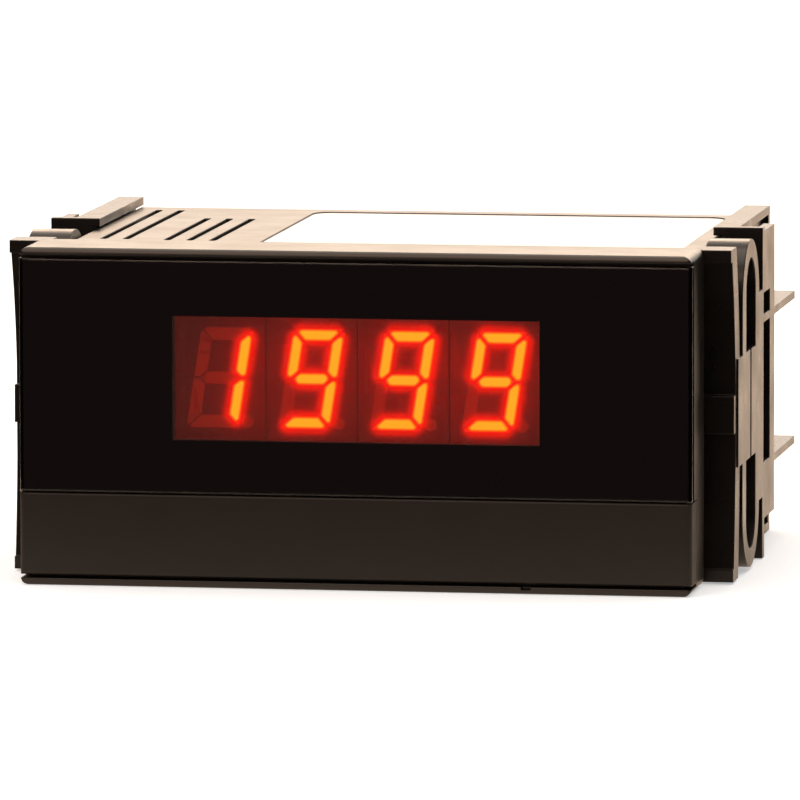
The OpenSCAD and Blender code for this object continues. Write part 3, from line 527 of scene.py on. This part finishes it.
class METER_OT_display(bpy.types.Operator):
    """Lights the figures and lays a sheet of painted glow on each digit block"""
    bl_idname = "meter.display"
    bl_label = "Display"

    def execute(self, context):
        colours, sizes = settings(context)[:2]
        dress(filled_epoxy(colours), *(f"led_digit_{n}" for n in DIGITS))
        dress(lit_epoxy(colours), *(f"lit_segments_{n}" for n in DIGITS))
        dress(unlit_epoxy(), *(f"dark_segments_{n}" for n in DIGITS))
        film = painted_glow_film(colours)
        lit = {n: self.tree_of(f"lit_segments_{n}") for n in DIGITS}
        lamps = [point for n in DIGITS for point in self.lit_points(n, lit[n], 1 * MM)]
        for n in DIGITS:
            self.film(n, film, sizes, lit[n], lamps)
        return {"FINISHED"}

    def lit_points(self, n, lit, pitch):
        """Evenly spaced points on a digit's lit bars, which stand for the light they give."""
        low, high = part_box(f"lit_segments_{n}")
        face_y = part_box(f"led_digit_{n}")[0].y
        for i in range(int((high.x - low.x) / pitch)):
            for k in range(int((high.z - low.z) / pitch)):
                point = Vector((low.x + (i + 0.5) * pitch, face_y, low.z + (k + 0.5) * pitch))
                if lit.find_nearest(point)[3] < ON_FACE:
                    yield point

    def film(self, n, material, sizes, lit, lamps):
        """Lays a thin sheet on a digit block's face and writes its light into it."""
        low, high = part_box(f"led_digit_{n}")
        width, height = high.x - low.x, high.z - low.z
        middle = (low + high) / 2
        start_piece()
        bpy.ops.mesh.primitive_grid_add(
            x_subdivisions=round(width / sizes.film_step), y_subdivisions=round(height / sizes.film_step),
            size=1, location=(middle.x, low.y - sizes.film / 2, middle.z), rotation=(math.pi / 2, 0, 0))
        film = bpy.context.object
        film.scale = (width, height, 1)
        apply_place(film)
        self.spread_light(film.data, n, low.y, sizes, lit, lamps)
        solid = film.modifiers.new("thickness", "SOLIDIFY")
        solid.thickness = sizes.film
        solid.offset = 0
        bpy.ops.object.modifier_apply(modifier=solid.name)
        finish_piece(film, f"digit_film_{n}", material, "meter")

    def spread_light(self, mesh, n, face_y, sizes, lit, lamps):
        """Writes the film's light at each point, from its depth in or distance from the lit bars.

        The bars count with round ends: as the discs that fit in them and are at least tip_r wide.
        """
        block = self.tree_of(f"led_digit_{n}")
        centres = list(self.lit_points(n, lit, sizes.film_step))
        radii = [block.find_nearest(centre)[3] for centre in centres]
        bars = KDTree(len(centres))
        for k, radius in enumerate(radii):
            if radius > sizes.tip_r:
                bars.insert(centres[k], k)
        bars.balance()
        glow = mesh.attributes.new("glow", "FLOAT", "POINT")
        core = mesh.attributes.new("core", "FLOAT", "POINT")
        for vertex in mesh.vertices:
            point = Vector((vertex.co.x, face_y, vertex.co.z))
            depth = max(radii[k] - distance for centre, k, distance in bars.find_n(point, NEAREST))
            share = ease(depth / sizes.blend)
            halo = math.exp(-(max(-depth, 0) / sizes.halo) ** HALO_FALL)
            near = EDGE_GLOW * halo + (1 - EDGE_GLOW) * share
            haze = POINT_HAZE * sum(math.exp(-(point - lamp).length / sizes.haze) for lamp in lamps)
            glow.data[vertex.index].value = 1 - (1 - near) * (1 - haze)
            core.data[vertex.index].value = share

    def tree_of(self, name):
        """A CAD node's faces, to measure distances to."""
        mesh = NODES[name].data
        return BVHTree.FromPolygons([v.co for v in mesh.vertices], [p.vertices for p in mesh.polygons])


class METER_OT_boards(bpy.types.Operator):
    """Finishes the two boards and what they carry"""
    bl_idname = "meter.boards"
    bl_label = "Boards"

    def execute(self, context):
        dress(laminate(), "display_board", "main_board")
        dress(plain_moulding("blue_thermoset", "#1c3f9c", 0.3, 0.4), "zero_trimmer_body",
              "span_trimmer_body")
        dress(plain_moulding("black_nylon_header", "#141414", 0.4, 0.5), "board_header")
        dress(plain_moulding("moulded_epoxy_package", "#1b1b1d", 0.5, 0.6, 0.15), "converter_chip",
              "voltage_regulator")
        dress(banded("silicon_steel_laminations", "#6a6c70", "#3c3d40", "Y", 0.5, 0.3, 0.45),
              "transformer_core")
        dress(banded("polyester_winding_tape", "#c79a2e", "#a87c1c", "Z", 3.0, 0.08, 0.35),
              "transformer_winding")
        dress(plain_moulding("shrunk_pvc_sleeve", "#1b2250", 0.25, 0.35, 1.5), "smoothing_capacitors")
        dress(plain_moulding("dipped_epoxy_coat", "#b7802a", 0.25, 0.35, 1.2), "film_capacitors")
        dress(banded("lacquered_ceramic", "#86b4bd", "#5a3a1e", "Y", 1.1, 0.3, 0.3), "resistors")
        return {"FINISHED"}


class METER_OT_rear(bpy.types.Operator):
    """Finishes the terminal block, its metal and the screws"""
    bl_idname = "meter.rear"
    bl_label = "Rear"

    def execute(self, context):
        dress(plain_moulding("glass_filled_nylon", "#161616", 0.42, 0.55, 0.5), "terminal_block")
        dress(metal("tinned_brass", "#c4bfac", 0.24, 0.40), "terminal_clamps", "terminal_legs",
              "zero_trimmer_rotor", "span_trimmer_rotor")
        dress(metal("zinc_plated_steel", "#b8bab8", 0.20, 0.36), "terminal_screws", "rear_screws",
              "display_board_screws")
        return {"FINISHED"}


class METER_OT_brackets(bpy.types.Operator):
    """Finishes the two spring brackets"""
    bl_idname = "meter.brackets"
    bl_label = "Brackets"

    def execute(self, context):
        colours, sizes = settings(context)[:2]
        dress(moulded_acetal(colours, sizes), "bracket_left", "bracket_right")
        return {"FINISHED"}


class METER_PT_panel(bpy.types.Panel):
    """Lists the meter's steps and settings"""
    bl_idname = "METER_PT_panel"
    bl_label = "Panel Meter"
    bl_space_type = "VIEW_3D"
    bl_region_type = "UI"
    bl_category = "Panel Meter"

    def draw(self, context):
        for step in OPERATORS:
            self.layout.operator(step.bl_idname)
        for group in settings(context):
            box = self.layout.box()
            for name in group.__annotations__:
                box.prop(group, name)


OPERATORS = (METER_OT_stage, METER_OT_front, METER_OT_display, METER_OT_boards, METER_OT_rear,
             METER_OT_brackets)
CLASSES = (MeterColours, MeterSizes, MeterStudio, *OPERATORS, METER_PT_panel)


def register():
    for cls in CLASSES:
        bpy.utils.register_class(cls)
    bpy.types.Scene.meter_colours = PointerProperty(type=MeterColours)
    bpy.types.Scene.meter_sizes = PointerProperty(type=MeterSizes)
    bpy.types.Scene.meter_studio = PointerProperty(type=MeterStudio)


def unregister():
    for cls in reversed(CLASSES):
        bpy.utils.unregister_class(cls)
    del bpy.types.Scene.meter_colours
    del bpy.types.Scene.meter_sizes
    del bpy.types.Scene.meter_studio


def main():
    register()
    bpy.context.scene.view_settings.view_transform = "Standard"
    bpy.ops.meter.stage()
    bpy.ops.meter.front()
    bpy.ops.meter.display()
    bpy.ops.meter.boards()
    bpy.ops.meter.rear()
    bpy.ops.meter.brackets()


if __name__ == "__main__":
    main()
